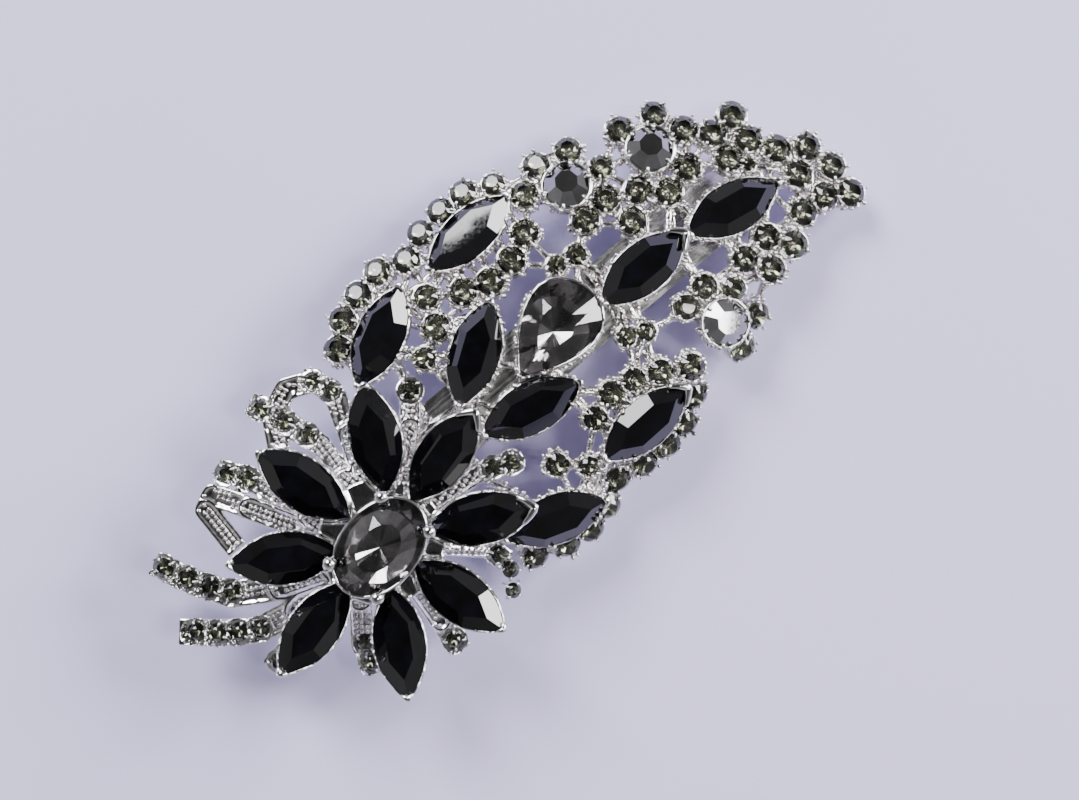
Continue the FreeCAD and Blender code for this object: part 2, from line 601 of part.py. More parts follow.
def nodes():
    made = {
        "base_plate": base_plate(),
        "plate_rivets": plate_rivets(),
        "flower_rivet": flower_rivet(),
        "hinge_pin": hinge_pin(),
        "tension_bow": tension_bow(),
        "locking_arm": locking_arm(),
        "left_prong": clasp_prong(1),
        "right_prong": clasp_prong(-1),
        "feather_casting": feather_casting(),
        "bow_casting": bow_casting(),
        "flower_casting": flower_casting(),
        "oval_stone": placed(faceted(OVAL_OUTLINE, 1.8, 0.2, OVAL_DEPTH - 0.2, 0.5), oval_place()),
        "pear_stone": placed(faceted(PEAR_OUTLINE, 1.9, 0.2, PEAR_DEPTH - 0.2, 0.45), pear_place()),
        "bow_rhinestones": rhinestones(bow_places()),
    }
    for name, group in FEATHER_GROUPS.items():
        made[name] = rhinestones(group)
    navette = navette_stone()
    for i, place in enumerate(petal_places()):
        made["petal_stone_%d" % (i + 1)] = placed(navette, place)
    for i, place in enumerate(leaf_places()):
        made["leaf_stone_%d" % (i + 1)] = placed(navette, place)
    metallic = round_stone()
    for i, place in enumerate(round_places()):
        made["round_stone_%d" % (i + 1)] = placed(metallic, place)
    return made


os.makedirs("parts", exist_ok=True)
for name, shape in nodes().items():
    print(name, len(shape.Solids), round(shape.Volume, 2), shape.isValid())
    shape.exportStep("parts/%s.step" % name)
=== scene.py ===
import math
import random

import bmesh
import bpy
import numpy as np
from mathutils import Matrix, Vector, noise


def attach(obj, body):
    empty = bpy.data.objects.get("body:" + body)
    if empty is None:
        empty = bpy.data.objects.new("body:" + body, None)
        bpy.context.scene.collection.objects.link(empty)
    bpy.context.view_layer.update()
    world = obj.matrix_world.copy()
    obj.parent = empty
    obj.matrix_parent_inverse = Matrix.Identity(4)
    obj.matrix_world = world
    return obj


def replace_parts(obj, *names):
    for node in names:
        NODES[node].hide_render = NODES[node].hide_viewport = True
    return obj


# The looks of the rhinestone hair clip. Lengths below are millimetres until MM is applied.
# The stones and the barrette are the CAD nodes with better materials; the three castings
# are replaced by granulated metal with bezels, claws and beads built round the stones.

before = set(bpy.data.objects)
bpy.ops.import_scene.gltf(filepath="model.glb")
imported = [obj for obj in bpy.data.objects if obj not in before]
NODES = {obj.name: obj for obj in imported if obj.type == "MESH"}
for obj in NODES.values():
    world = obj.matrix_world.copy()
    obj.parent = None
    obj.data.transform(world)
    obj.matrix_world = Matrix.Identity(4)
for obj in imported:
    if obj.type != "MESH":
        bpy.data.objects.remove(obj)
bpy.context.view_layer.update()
MM = 0.001
random.seed(7)

CAMERA_HEIGHT = 251.0        # above the table
CAMERA_OFFSET = (2.43, -4.88)
CAMERA_TURN = -40.0          # degrees about the view axis
CAMERA_LENS = 60.06
SENSOR_WIDTH = 36.0
CLIP_START = 10.0
FLOOR_HALF = 1500.0
GLASS_IOR = 1.55

# Settings: wall thickness, height of the rim and of the foot from the girdle, and inward lip
BEZEL_GAP = 0.01
BEZEL_STEP = 0.35            # spacing of the points round a bezel
CHATON_BEZEL = {"wall": 0.16, "top": -0.35, "bottom": -1.2, "lip": 0.0}
LEAF_BEZEL = {"wall": 0.22, "top": 0.06, "bottom": -1.1, "lip": 0.0}
PETAL_BEZEL = {"wall": 0.2, "top": 0.04, "bottom": -1.1, "lip": 0.0}
OVAL_BEZEL = {"wall": 0.34, "top": 0.15, "bottom": -1.3, "lip": 0.03}
LARGE_BEZEL = {"wall": 0.32, "top": 0.2, "bottom": -1.1, "lip": 0.05}

CLAW_RADIUS = 0.24
TIP_CLAW = 0.6               # size of the band round a navette's point
PETAL_TIP_CLAW = 0.55
LARGE_TIP_CLAW = 1.5
BIG_CLAW_LEAVES = (1, 6)     # places in LEAVES and PETALS of the stones with a large band
BIG_CLAW_PETALS = (3, 4)
OVAL_CLAW_TURNS = (48, 138, 228, 318)
OVAL_CLAW_RADIUS = 0.42
OVAL_BALL_RADIUS = 1.0

CASTING_VOXEL = 0.27         # cell of the remeshed castings
RIBBON_VOXEL = 0.2
FEATHER_LUMPS = 0.12         # height of the lumps on each casting
RIBBON_LUMPS = 0.03
FLOWER_LUMPS = 0.02
RIM_REACH = 0.65             # a cup rim's width beyond the stone
RIM_LOW = 0.8                # the rim sinks from this depth below the girdle upwards
RIM_SINK = 0.65
RAIL_RADIUS = 0.3

GRANULE_SPACING = 0.66
GRANULE_RADII = (0.2, 0.38)
GRANULE_TRIES = 12000
GRANULE_LIMIT = 1200
MILGRAIN_SPACING = 0.74
MILGRAIN_RADIUS = 0.34
MILGRAIN_INSET = 0.62        # from the ribbon's edge to the first row of beads
LATTICE_SPAN = (2.4, 7.2)    # shortest and longest bar
LATTICE_RADII = [0.6, 0.5, 0.6]
LATTICE_DROP_RADII = (0.28, 0.5)
CUP_REACH = 0.42             # beads keep this far outside a stone's outline


# ---- mesh building -----------------------------------------------------------
class Pile:
    """Collects vertices and faces for one piece."""

    def __init__(self):
        self.verts = []
        self.faces = []

    def add(self, verts, faces):
        base = len(self.verts)
        self.verts += [tuple(v) for v in verts]
        self.faces += [tuple(base + i for i in f) for f in faces]

    def mesh(self, name):
        mesh = bpy.data.meshes.new(name)
        mesh.from_pydata([tuple(c * MM for c in v) for v in self.verts], [], self.faces)
        mesh.update()
        return mesh

    def piece(self, name, material):
        finished(self.mesh(name), name, material)


def finished(mesh, name, material):
    """Makes a smooth piece of cast metal that rides on the clip's fixed body."""
    for polygon in mesh.polygons:
        polygon.use_smooth = True
    mesh.materials.clear()
    mesh.materials.append(material)
    piece = bpy.data.objects.new(name, mesh)
    bpy.context.scene.collection.objects.link(piece)
    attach(piece, "root")
    return piece


def ball_template(level):
    bm = bmesh.new()
    bmesh.ops.create_icosphere(bm, subdivisions=level, radius=1.0)
    verts = np.array([v.co[:] for v in bm.verts])
    faces = [[v.index for v in f.verts] for f in bm.faces]
    bm.free()
    return verts, faces


BALL = ball_template(2)
FINE_BALL = ball_template(3)


def ball(pile, centre, radius, template=BALL):
    verts, faces = template
    pile.add(verts * radius + centre, faces)


def tube(pile, points, radii, sides=8):
    """Round bar through the points, closed with a point at each end."""
    points = [np.array(p, float) for p in points]
    verts, faces = [], []
    for i, p in enumerate(points):
        along = points[min(i + 1, len(points) - 1)] - points[max(i - 1, 0)]
        along /= np.linalg.norm(along) + 1e-9
        side = np.cross(along, (0.3, 0.2, 0.93))
        side /= np.linalg.norm(side) + 1e-9
        other = np.cross(along, side)
        for k in range(sides):
            a = 2 * math.pi * k / sides
            verts.append(p + radii[i] * (math.cos(a) * side + math.sin(a) * other))
    for i in range(len(points) - 1):
        for k in range(sides):
            m = (k + 1) % sides
            faces.append((i * sides + k, i * sides + m, (i + 1) * sides + m, (i + 1) * sides + k))
    for end, ring in ((0, 0), (-1, len(points) - 1)):
        outward = points[end] - (points[1] if end == 0 else points[-2])
        verts.append(points[end] + outward / np.linalg.norm(outward) * radii[end] * 0.7)
        pole = len(verts) - 1
        for k in range(sides):
            m = (k + 1) % sides
            pair = (ring * sides + k, ring * sides + m)
            faces.append((pole, pair[1], pair[0]) if end == 0 else (pole, pair[0], pair[1]))
    pile.add(verts, faces)


# ---- the stones, read from the CAD nodes -------------------------------------
def clean_bmesh(node):
    """The node's mesh in millimetres, with the vertices split at sharp edges welded again."""
    bm = bmesh.new()
    bm.from_mesh(NODES[node].data)
    for v in bm.verts:
        v.co /= MM
    bmesh.ops.remove_doubles(bm, verts=bm.verts, dist=0.002)
    bm.verts.ensure_lookup_table()
    return bm


def islands(bm):
    """The points of each loose part."""
    seen = set()
    for start in bm.verts:
        if start.index in seen:
            continue
        seen.add(start.index)
        group, queue = [], [start]
        while queue:
            v = queue.pop()
            group.append(v.co[:])
            for edge in v.link_edges:
                w = edge.other_vert(v)
                if w.index not in seen:
                    seen.add(w.index)
                    queue.append(w)
        yield np.array(group)


def hull_2d(points):
    """Convex outline, anticlockwise."""
    points = sorted(set((round(x, 3), round(y, 3)) for x, y in points))

    def half(row):
        out = []
        for p in row:
            while len(out) > 1 and ((out[-1][0] - out[-2][0]) * (p[1] - out[-2][1])
                                    - (out[-1][1] - out[-2][1]) * (p[0] - out[-2][0])) <= 0:
                out.pop()
            out.append(p)
        return out[:-1]

    return half(points) + half(points[::-1])


class Stone:
    """Centre, axes, girdle height and outline of one stone."""

    def __init__(self, points):
        self.centre = points.mean(axis=0)
        spread = np.cov((points - self.centre).T)
        vectors = np.linalg.eigh(spread)[1]
        up = vectors[:, 0] * (1 if vectors[2, 0] > 0 else -1)
        along = vectors[:, 2]
        self.axes = np.stack([along, np.cross(up, along), up])
        local = (points - self.centre) @ self.axes.T
        reach = np.hypot(local[:, 0], local[:, 1])
        self.level = local[reach > 0.97 * reach.max(), 2].mean()
        self.radius = reach.max()
        self.outline = np.array(hull_2d(local[:, :2]))

    def world(self, x, y, z):
        return self.centre + np.array([x, y, z + self.level]) @ self.axes

    def covers(self, points, margin=0.15):
        """Which points lie over or under the stone, within its outline."""
        local = (points - self.centre) @ self.axes.T
        inside = np.abs(local[:, 2]) < 4.0
        ring = self.outline
        for a, b in zip(ring, np.roll(ring, -1, axis=0)):
            edge = b - a
            length = np.hypot(*edge) + 1e-9
            away = (edge[0] * (local[:, 1] - a[1]) - edge[1] * (local[:, 0] - a[0])) / length
            inside &= away > -margin
        return inside

    def ring(self, step):
        """Outline points at an even spacing, with their outward directions."""
        points, outs = [], []
        ring = self.outline
        for a, b in zip(ring, np.roll(ring, -1, axis=0)):
            count = max(1, int(round(np.hypot(*(b - a)) / step)))
            points += [a + (b - a) * i / count for i in range(count)]
        points = np.array(points)
        ahead, behind = np.roll(points, -1, axis=0), np.roll(points, 1, axis=0)
        for p, q, r in zip(behind, points, ahead):
            one = (q - p) / (np.hypot(*(q - p)) + 1e-9)
            two = (r - q) / (np.hypot(*(r - q)) + 1e-9)
            out = np.array([one[1] + two[1], -one[0] - two[0]])
            outs.append(out / (np.hypot(*out) + 1e-9))
        return points, np.array(outs)


def stones_of(prefixes):
    """The stones of the nodes whose names start so, each loose part of a node being one."""
    found = []
    for name in sorted(NODES):
        if name.startswith(prefixes):
            bm = clean_bmesh(name)
            found += [Stone(group) for group in islands(bm) if len(group) > 20]
            bm.free()
    return found


CHATON_GROUPS = ("upper_rim", "inner_upper", "tip_", "inner_lower", "lower_rim")
FEATHER_CHATONS = stones_of(CHATON_GROUPS)
BOW_CHATONS = stones_of(("bow_rhinestones",))
PETALS = [stones_of(("petal_stone_%d" % i,))[0] for i in range(1, 9)]
LEAVES = [stones_of(("leaf_stone_%d" % i,))[0] for i in range(1, 9)]
ROUNDS = stones_of(("round_stone",))
OVAL = stones_of(("oval_stone",))[0]
PEAR = stones_of(("pear_stone",))[0]
ALL_STONES = FEATHER_CHATONS + BOW_CHATONS + PETALS + LEAVES + ROUNDS + [OVAL, PEAR]


# ---- settings ------------------------------------------------------------------
def bezel(pile, stone, wall, top, bottom, lip):
    """Metal band round a stone, its upper edge rolled a little over the girdle."""
    points, outs = stone.ring(BEZEL_STEP)
    profile = (
        (BEZEL_GAP, bottom), (wall * 0.9, bottom), (wall, top - 0.2), (wall * 0.8, top),
        (wall * 0.4, top + 0.06), (-lip, top + 0.02), (-lip, top - 0.06), (BEZEL_GAP, top - 0.14),
    )
    rows = len(profile)
    verts, faces = [], []
    for p, out in zip(points, outs):
        for offset, height in profile:
            q = p + out * offset
            verts.append(stone.world(q[0], q[1], height))
    count = len(points)
    for i in range(count):
        j = (i + 1) % count
        for k in range(rows):
            m = (k + 1) % rows
            faces.append((i * rows + k, j * rows + k, j * rows + m, i * rows + m))
    pile.add(verts, faces)


def claws(pile, stone, count, size, turn=0.0):
    """Small prongs that stand round a stone and bend over its edge."""
    r = stone.radius
    radius = CLAW_RADIUS * size
    for i in range(count):
        a = turn + 2 * math.pi * (i + 0.5) / count
        x, y = math.cos(a), math.sin(a)
        path = [
            stone.world(x * (r + 0.3), y * (r + 0.3), -1.0),
            stone.world(x * (r + 0.26), y * (r + 0.26), -0.1),
            stone.world(x * (r + 0.1), y * (r + 0.1), 0.28 * size),
            stone.world(x * (r - 0.24 * size), y * (r - 0.24 * size), 0.42 * size),
        ]
        tube(pile, path, [radius, radius, radius * 0.95, radius * 0.8])


def tip_claw(pile, stone, end, size):
    """Band wrapped round one point of a navette."""
    points, outs = stone.ring(0.2)
    keep = [(p, o) for p, o in zip(points, outs) if p[0] * end > 0 and abs(p[1]) < 1.15 * size]
    keep.sort(key=lambda item: item[0][1])
    path = [stone.world(*(p + o * 0.1), 0.4 + 0.2 * size) for p, o in keep]
    if len(path) > 3:
        swell = [0.55 + 0.45 * math.sin(math.pi * (i + 0.5) / len(path)) for i in range(len(path))]
        tube(pile, path, [(0.3 + 0.2 * size) * share for share in swell], 10)


def area_samples(node, count):
    """Random points on the faces of a CAD node that face up, with the faces' normals."""
    bm = clean_bmesh(node)
    bmesh.ops.triangulate(bm, faces=bm.faces)
    corners = np.array([[v.co[:] for v in f.verts] for f in bm.faces])
    normals = np.array([f.normal[:] for f in bm.faces])
    areas = np.array([f.calc_area() for f in bm.faces])
    bm.free()
    keep = normals[:, 2] > 0.0
    corners, normals, areas = corners[keep], normals[keep], areas[keep]
    dice = np.random.RandomState(11)
    pick = dice.choice(len(areas), count, p=areas / areas.sum())
    u, v = dice.rand(count), dice.rand(count)
    flip = u + v > 1
    u[flip], v[flip] = 1 - u[flip], 1 - v[flip]
    c = corners[pick]
    return c[:, 0] + u[:, None] * (c[:, 1] - c[:, 0]) + v[:, None] * (c[:, 2] - c[:, 0]), normals[pick]


def granules(pile, node, spacing, sizes):
    """Beads scattered over a casting, never over a stone."""
    points, normals = area_samples(node, GRANULE_TRIES)
    blocked = np.zeros(len(points), bool)
    for stone in ALL_STONES:
        blocked |= stone.covers(points)
    taken = {}
    made = 0
    for p, n, hidden in zip(points, normals, blocked):
        cell = tuple(int(math.floor(c / spacing)) for c in p)
        near = [taken.get((cell[0] + i, cell[1] + j, cell[2] + k))
                for i in (-1, 0, 1) for j in (-1, 0, 1) for k in (-1, 0, 1)]
        crowded = any(q is not None and np.linalg.norm(q - p) < spacing for q in near)
        if hidden or crowded or made >= GRANULE_LIMIT:
            continue
        taken[cell] = p
        made += 1
        radius = sizes[0] + (sizes[1] - sizes[0]) * (0.5 + 0.5 * math.sin(37.7 * p[0] + 91.3 * p[1]))
        ball(pile, p + n * radius * 0.25, radius)


def lattice(bars, beads):
    """Open metalwork that ties neighbouring cups of the feather together."""
    knots = []
    for i, stone in enumerate(FEATHER_CHATONS + ROUNDS):
        knots.append((i, stone.world(0, 0, -1.35)))
    for i, stone in enumerate(LEAVES + [PEAR]):
        for share in (-0.8, -0.42, 0.0, 0.42, 0.8):
            knots.append((-1 - i, stone.world(share * stone.radius, 0, -1.5)))
    rows = []
    for n, (i, a) in enumerate(knots):
        for j, b in knots[n + 1:]:
            if i != j and LATTICE_SPAN[0] < np.linalg.norm(a - b) < LATTICE_SPAN[1]:
                middle = (a + b) / 2 + np.array([random.uniform(-0.4, 0.4) for c in "xyz"])
                tube(bars, [a, middle, b], LATTICE_RADII, 7)
                rows += [a + (middle - a) * t for t in (0.4, 0.65, 0.9)]
                rows += [b + (middle - b) * t for t in (0.4, 0.65)]
    spots = np.array(rows)
    hidden = np.zeros(len(spots), bool)
    for stone in ALL_STONES:
        hidden |= stone.covers(spots, 0.0)
    for spot in spots[~hidden]:
        lift = np.array([random.uniform(-0.2, 0.2), random.uniform(-0.2, 0.2), random.uniform(0.1, 0.4)])
        ball(beads, spot + lift, random.uniform(*LATTICE_DROP_RADII))


def flat_tops(node, least_area):
    """Groups of coplanar triangles that face up: (corner array, normal)."""
    bm = clean_bmesh(node)
    bmesh.ops.triangulate(bm, faces=bm.faces)
    seen = set()
    for start in bm.faces:
        if start in seen or start.normal.z < 0.8:
            continue
        seen.add(start)
        group, queue = [], [start]
        while queue:
            face = queue.pop()
            group.append(face)
            for edge in face.edges:
                for other in edge.link_faces:
                    if other not in seen and other.normal.dot(start.normal) > 0.9999:
                        seen.add(other)
                        queue.append(other)
        if sum(f.calc_area() for f in group) > least_area:
            yield np.array([[v.co[:] for v in f.verts] for f in group]), np.array(start.normal[:])
    bm.free()


def inside_any(points, triangles):
    """Which of the flat points lie in at least one triangle."""
    hit = np.zeros(len(points), bool)
    for a, b, c in triangles:
        signs = []
        for p, q in ((a, b), (b, c), (c, a)):
            signs.append((q[0] - p[0]) * (points[:, 1] - p[1]) - (q[1] - p[1]) * (points[:, 0] - p[0]))
        hit |= (np.min(signs, axis=0) > -1e-6) | (np.max(signs, axis=0) < 1e-6)
    return hit


def bead_rows(pile, node, spacing, radius, inset):
    """Rows of small beads along the flat runs of a ribbon."""
    taken = []
    for corners, normal in flat_tops(node, 1.5):
        flat = corners.reshape(-1, 3)
        middle = flat.mean(axis=0)
        along = np.linalg.eigh(np.cov((flat - middle).T))[1][:, 2]
        across = np.cross(normal, along)
        local = np.stack([(corners - middle) @ along, (corners - middle) @ across], axis=-1)
        low, high = local.reshape(-1, 2).min(axis=0), local.reshape(-1, 2).max(axis=0)
        rows = max(1, int((high[1] - low[1] - 2 * inset) / spacing) + 1)
        lanes = (high[1] + low[1]) / 2 + (np.arange(rows) - (rows - 1) / 2) * spacing
        steps = np.arange(low[0] + inset * 0.4, high[0], spacing)
        grid = np.array([(x, y) for y in lanes for x in steps]).reshape(-1, 2)
        if not len(grid):
            continue
        kept = inside_any(grid, local)
        for shift in ((0, inset * 0.9), (0, -inset * 0.9)):
            kept &= inside_any(grid + np.array(shift), local)
        spots = middle + grid[:, :1] * along + grid[:, 1:] * across
        for stone in ALL_STONES:
            kept &= ~stone.covers(spots, CUP_REACH)
        kept &= np.hypot(spots[:, 0] - OVAL.centre[0], spots[:, 1] - OVAL.centre[1]) > OVAL.radius
        for spot in spots[kept]:
            if all(np.linalg.norm(spot - other) > spacing * 0.75 for other in taken):
                taken.append(spot)
                ball(pile, spot + normal * radius * 0.15, radius)


def sink_rims(spots, stones):
    """Presses the cup rims of small stones below the girdle, so that claws alone show."""
    for stone in stones:
        local = (spots - stone.centre) @ stone.axes.T
        height = local[:, 2] - stone.level
        rim = np.hypot(local[:, 0], local[:, 1]) < stone.radius + RIM_REACH
        rim &= (height > -RIM_LOW) & (height < 1.0)
        local[rim, 2] -= (height[rim] + RIM_LOW) * RIM_SINK
        spots[rim] = stone.centre + local[rim] @ stone.axes


def roughen(mesh, height, sunk):
    """Adds low lumps to a mesh, and sinks the cup rims of the stones named."""
    count = len(mesh.vertices)
    spots, outs = np.empty(count * 3), np.empty(count * 3)
    mesh.vertices.foreach_get("co", spots)
    mesh.vertex_normals.foreach_get("vector", outs)
    spots, outs = spots.reshape(-1, 3), outs.reshape(-1, 3)
    lumps = [noise.noise(p * 1.3) * 0.6 + noise.noise(p * 2.7) for p in map(Vector, spots / MM)]
    spots += outs * (height * MM * np.array(lumps))[:, None]
    spots /= MM
    sink_rims(spots, sunk)
    spots *= MM
    mesh.vertices.foreach_set("co", spots.ravel())
    mesh.update()


def cast_base(node, name, material, voxel, lumps, extra=None, sunk=()):
    """A remeshed copy of a CAD casting, its surface roughened like a casting's."""
    mesh = NODES[node].data.copy()
    if extra is not None:
        bm = bmesh.new()
        bm.from_mesh(mesh)
        bm.from_mesh(extra.mesh("added"))
        bm.to_mesh(mesh)
        bm.free()
    draft = bpy.data.objects.new(name + "_draft", mesh)
    bpy.context.scene.collection.objects.link(draft)
    remesh = draft.modifiers.new("remesh", "REMESH")
    remesh.mode = "VOXEL"
    remesh.voxel_size = voxel * MM
    smooth = draft.modifiers.new("smooth", "SMOOTH")
    smooth.factor, smooth.iterations = 0.5, 2
    bpy.context.view_layer.update()
    done = bpy.data.meshes.new_from_object(draft.evaluated_get(bpy.context.evaluated_depsgraph_get()))
    bpy.data.objects.remove(draft)
    roughen(done, lumps, sunk)
    done.name = name
    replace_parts(finished(done, name, material), node)


def ribbon_rails(node):
    """Raised rims along the upper edges of the ribbons."""
    rails = Pile()
    bm = clean_bmesh(node)
    for edge in bm.edges:
        if len(edge.link_faces) != 2:
            continue
        high, low = sorted((f.normal.z for f in edge.link_faces), reverse=True)
        if high > 0.8 and abs(low) < 0.55 and edge.calc_length() > 0.05:
            a, b = (np.array(v.co[:]) for v in edge.verts)
            if any(s.covers(np.array([(a + b) / 2]), 0.1)[0] for s in PETALS + [OVAL]):
                continue
            tube(rails, [a, b], [RAIL_RADIUS, RAIL_RADIUS], 6)
            ball(rails, a, RAIL_RADIUS)
    bm.free()
    return rails


# ---- materials -------------------------------------------------------------------
def shader(name):
    material = bpy.data.materials.new(name)
    material.use_nodes = True
    nodes, links = material.node_tree.nodes, material.node_tree.links
    return material, nodes, links, nodes["Principled BSDF"]


def noise_node(nodes, links, scale, detail, coords=None):
    place = coords or nodes.new("ShaderNodeTexCoord").outputs["Object"]
    texture = nodes.new("ShaderNodeTexNoise")
    texture.inputs["Scale"].default_value = scale
    texture.inputs["Detail"].default_value = detail
    links.new(place, texture.inputs["Vector"])
    return texture.outputs["Fac"]


def ramp(nodes, links, source, stops):
    node = nodes.new("ShaderNodeValToRGB")
    links.new(source, node.inputs["Fac"])
    elements = node.color_ramp.elements
    for i, (spot, colour) in enumerate(stops):
        element = elements[i] if i < 2 else elements.new(spot)
        element.position = spot
        element.color = (*colour, 1)
    return node.outputs["Color"]


def bump(nodes, links, source, strength, distance, bsdf):
    node = nodes.new("ShaderNodeBump")
    node.inputs["Strength"].default_value = strength
    node.inputs["Distance"].default_value = distance * MM
    links.new(source, node.inputs["Height"])
    links.new(node.outputs["Normal"], bsdf.inputs["Normal"])


def grey(value):
    return (value, value, value)


def metal(name, dark, light, rough, bump_scale, bump_depth, stretch=None):
    """Metal with tarnish in patches, and a grain that varies the roughness and the surface."""
    material, nodes, links, bsdf = shader(name)
    coords = nodes.new("ShaderNodeTexCoord").outputs["Object"]
    if stretch:
        mapping = nodes.new("ShaderNodeMapping")
        mapping.inputs["Scale"].default_value = stretch
        links.new(coords, mapping.inputs["Vector"])
        coords = mapping.outputs["Vector"]
    patches = noise_node(nodes, links, 900.0, 3.0, coords)
    links.new(ramp(nodes, links, patches, [(0.3, dark), (0.62, light)]), bsdf.inputs["Base Color"])
    fine = noise_node(nodes, links, bump_scale, 3.0, coords)
    sheen = ramp(nodes, links, fine, [(0.3, grey(rough[0])), (0.7, grey(rough[1]))])
    links.new(sheen, bsdf.inputs["Roughness"])
    bump(nodes, links, fine, 0.6, bump_depth, bsdf)
    bsdf.inputs["Metallic"].default_value = 1.0
    return material


def gem(name, dark, light, rough, metallic=0.0, clear=0.0, wave=0.0):
    """Faceted stone: colour clouded a little, faint polishing marks in the roughness."""
    material, nodes, links, bsdf = shader(name)
    clouds = noise_node(nodes, links, 420.0, 2.0)
    links.new(ramp(nodes, links, clouds, [(0.3, dark), (0.7, light)]), bsdf.inputs["Base Color"])
    marks = noise_node(nodes, links, 2600.0, 2.0)
    polish = ramp(nodes, links, marks, [(0.3, grey(rough[0])), (0.75, grey(rough[1]))])
    links.new(polish, bsdf.inputs["Roughness"])
    if wave:
        bump(nodes, links, noise_node(nodes, links, 260.0, 1.0), wave, 0.05, bsdf)
    bsdf.inputs["Metallic"].default_value = metallic
    bsdf.inputs["Transmission Weight"].default_value = clear
    bsdf.inputs["IOR"].default_value = GLASS_IOR
    return material


RHODIUM = metal("rhodium_granulated", (0.42, 0.38, 0.37), (0.93, 0.91, 0.91), (0.1, 0.26), 3000.0, 0.05)
POLISHED = metal("rhodium_polished", (0.72, 0.7, 0.7), (0.95, 0.94, 0.94), (0.06, 0.14), 2200.0, 0.012)
STEEL = metal("nickel_plate", (0.62, 0.61, 0.6), (0.78, 0.77, 0.76), (0.18, 0.32), 1800.0, 0.01, (0.08, 1, 1))
SPRING = metal("spring_strip", (0.5, 0.5, 0.52), (0.68, 0.68, 0.7), (0.22, 0.36), 1800.0, 0.012, (0.05, 1, 1))
BLACK = gem("black_facets", grey(0.0015), (0.003, 0.003, 0.005), (0.015, 0.05), wave=0.12)
HEMATITE = gem("hematite_facets", grey(0.26), (0.33, 0.325, 0.34), (0.03, 0.07), metallic=1.0)
SMOKY = gem("smoky_crown", (0.17, 0.175, 0.14), (0.34, 0.35, 0.29), (0.0, 0.02), clear=1.0)
SMOKY_FOIL = gem("smoky_foil", (0.2, 0.21, 0.17), (0.8, 0.82, 0.7), (0.04, 0.1), metallic=1.0)
CRYSTAL = gem("grey_crystal", (0.36, 0.36, 0.37), (0.52, 0.51, 0.52), (0.0, 0.02), clear=1.0)
CRYSTAL_FOIL = gem("crystal_foil", (0.5, 0.48, 0.48), (0.8, 0.78, 0.78), (0.03, 0.08), metallic=1.0)


def dress(node, *materials):
    """Gives a CAD node its material, and with two, the second to what faces down."""
    mesh = NODES[node].data
    mesh.materials.clear()
    for material in materials:
        mesh.materials.append(material)
    for polygon in mesh.polygons:
        polygon.material_index = 1 if len(materials) > 1 and polygon.normal.z < 0.05 else 0


def dress_cad():
    for name in NODES:
        if name.startswith(("petal_stone", "leaf_stone")):
            dress(name, BLACK)
        elif name.startswith("round_stone"):
            dress(name, HEMATITE)
        elif name in ("oval_stone", "pear_stone"):
            dress(name, CRYSTAL, CRYSTAL_FOIL)
        elif name.endswith("rhinestones"):
            dress(name, SMOKY, SMOKY_FOIL)
        elif name == "tension_bow":
            dress(name, SPRING)
        else:
            dress(name, STEEL)


# ---- the castings ------------------------------------------------------------------
def feather():
    cast_base("feather_casting", "feather_base", RHODIUM, CASTING_VOXEL, FEATHER_LUMPS, sunk=FEATHER_CHATONS)
    settings, prongs, beads = Pile(), Pile(), Pile()
    for i, stone in enumerate(FEATHER_CHATONS):
        bezel(settings, stone, **CHATON_BEZEL)
        claws(prongs, stone, 4, stone.radius / 1.9, 0.7 * i)
    for stone in LEAVES:
        bezel(settings, stone, **LEAF_BEZEL)
    for stone in ROUNDS + [PEAR]:
        bezel(settings, stone, **LARGE_BEZEL)
    for i, stone in enumerate(LEAVES):
        outer = 1 if stone.axes[0][0] > 0 else -1
        tip_claw(prongs, stone, -outer, TIP_CLAW)
        tip_claw(prongs, stone, outer, LARGE_TIP_CLAW if i in BIG_CLAW_LEAVES else TIP_CLAW)
    for stone in ROUNDS:
        claws(prongs, stone, 6, 1.2)
    granules(beads, "feather_casting", GRANULE_SPACING, GRANULE_RADII)
    bars, drops = Pile(), Pile()
    lattice(bars, drops)
    bars.piece("feather_lattice", RHODIUM)
    drops.piece("feather_lattice_beads", RHODIUM)
    settings.piece("feather_settings", POLISHED)
    prongs.piece("feather_claws", POLISHED)
    beads.piece("feather_beads", RHODIUM)


def bow():
    rails = ribbon_rails("bow_casting")
    cast_base("bow_casting", "bow_ribbons", POLISHED, RIBBON_VOXEL, RIBBON_LUMPS, rails, BOW_CHATONS)
    prongs, beads = Pile(), Pile()
    for stone in BOW_CHATONS:
        claws(prongs, stone, 4, 0.75)
    bead_rows(beads, "bow_casting", MILGRAIN_SPACING, MILGRAIN_RADIUS, MILGRAIN_INSET)
    prongs.piece("bow_claws", POLISHED)
    beads.piece("bow_milgrain", RHODIUM)


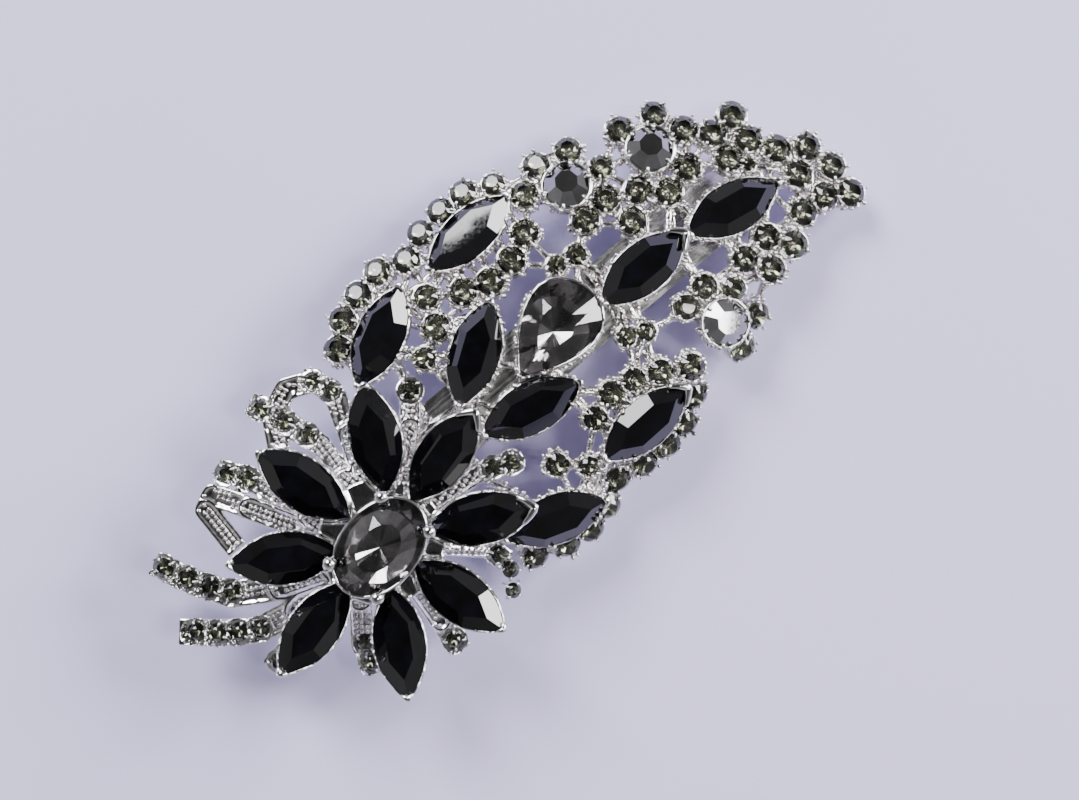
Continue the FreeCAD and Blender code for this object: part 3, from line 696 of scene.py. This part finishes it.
def flower():
    cast_base("flower_casting", "flower_base", POLISHED, CASTING_VOXEL, FLOWER_LUMPS)
    settings, prongs = Pile(), Pile()
    for i, stone in enumerate(PETALS):
        bezel(settings, stone, **PETAL_BEZEL)
        outer = 1 if (stone.centre - OVAL.centre) @ stone.axes[0] > 0 else -1
        tip_claw(prongs, stone, outer, LARGE_TIP_CLAW if i in BIG_CLAW_PETALS else PETAL_TIP_CLAW)
    bezel(settings, OVAL, **OVAL_BEZEL)
    half_long, half_wide = OVAL.outline.max(axis=0)
    for turn in OVAL_CLAW_TURNS:
        a = math.radians(turn)
        x, y = half_long * math.cos(a), half_wide * math.sin(a)
        post = [OVAL.world(x * 1.06, y * 1.06, -1.4), OVAL.world(x * 1.05, y * 1.05, 0.2)]
        tube(prongs, post, [OVAL_CLAW_RADIUS, OVAL_CLAW_RADIUS])
        ball(prongs, OVAL.world(x * 1.08, y * 1.08, 0.9), OVAL_BALL_RADIUS, FINE_BALL)
    settings.piece("flower_settings", POLISHED)
    prongs.piece("flower_claws", POLISHED)


# ---- stage -----------------------------------------------------------------------------
def floor():
    mesh = bpy.data.meshes.new("paper")
    half = FLOOR_HALF * MM
    corners = [(-half, -half, 0), (half, -half, 0), (half, half, 0), (-half, half, 0)]
    mesh.from_pydata(corners, [], [(0, 1, 2, 3)])
    material, nodes, links, bsdf = shader("paper")
    clouds = noise_node(nodes, links, 9.0, 3.0)
    links.new(ramp(nodes, links, clouds, [(0.3, (0.66, 0.62, 0.93)), (0.7, (0.7, 0.655, 0.97))]),
              bsdf.inputs["Base Color"])
    bsdf.inputs["Roughness"].default_value = 0.75
    bump(nodes, links, noise_node(nodes, links, 500.0, 4.0), 0.25, 0.08, bsdf)
    mesh.materials.append(material)
    paper = bpy.data.objects.new("paper", mesh)
    bpy.context.scene.collection.objects.link(paper)


def area_light(name, position, size, power, colour=(1, 1, 1)):
    data = bpy.data.lights.new(name, "AREA")
    data.shape = "RECTANGLE"
    data.size, data.size_y = size
    data.energy = power
    data.color = colour
    lamp = bpy.data.objects.new(name, data)
    lamp.location = position
    lamp.rotation_euler = (-Vector(position)).to_track_quat("-Z", "Y").to_euler()
    bpy.context.scene.collection.objects.link(lamp)


def image_direction(right, up, height):
    """A place given as the view shows it: right and up in the picture, and above the table."""
    a = math.radians(CAMERA_TURN)
    return (right * math.cos(a) - up * math.sin(a), right * math.sin(a) + up * math.cos(a), height)


def lights():
    area_light("window", image_direction(-0.5, 0.75, 0.75), (0.5, 0.5), 19.0, (0.97, 0.97, 1.0))
    area_light("card", image_direction(0.42, -0.06, 0.85), (0.16, 0.22), 2.4)
    area_light("side", image_direction(0.9, 0.35, 0.5), (0.5, 0.3), 18.0, (1.0, 0.98, 0.98))
    world = bpy.data.worlds.new("studio")
    world.use_nodes = True
    nodes, links = world.node_tree.nodes, world.node_tree.links
    coords = nodes.new("ShaderNodeTexCoord").outputs["Generated"]
    split = nodes.new("ShaderNodeSeparateXYZ")
    links.new(coords, split.inputs[0])
    sky = ramp(nodes, links, split.outputs["Z"], [
        (0.0, grey(0.5)), (0.35, grey(0.42)), (0.6, grey(0.27)), (0.86, grey(0.1)), (0.97, grey(0.035))])
    patches = ramp(nodes, links, noise_node(nodes, links, 2.6, 2.0, coords),
                   [(0.36, (0.3, 0.3, 0.32)), (0.5, grey(1.0)), (0.66, (1.2, 1.2, 1.25))])
    product = nodes.new("ShaderNodeMixRGB")
    product.blend_type = "MULTIPLY"
    product.inputs["Fac"].default_value = 1.0
    links.new(sky, product.inputs["Color1"])
    links.new(patches, product.inputs["Color2"])
    links.new(product.outputs["Color"], nodes["Background"].inputs["Color"])
    nodes["Background"].inputs["Strength"].default_value = 1.0
    bpy.context.scene.world = world


def camera():
    data = bpy.data.cameras.new("camera")
    data.lens, data.sensor_width = CAMERA_LENS, SENSOR_WIDTH
    data.clip_start = CLIP_START * MM
    eye = bpy.data.objects.new("camera", data)
    eye.location = (CAMERA_OFFSET[0] * MM, CAMERA_OFFSET[1] * MM, CAMERA_HEIGHT * MM)
    eye.rotation_euler = (0, 0, math.radians(CAMERA_TURN))
    bpy.context.scene.collection.objects.link(eye)
    bpy.context.scene.camera = eye


camera()
floor()
lights()
dress_cad()
feather()
bow()
flower()

bpy.context.view_layer.update()
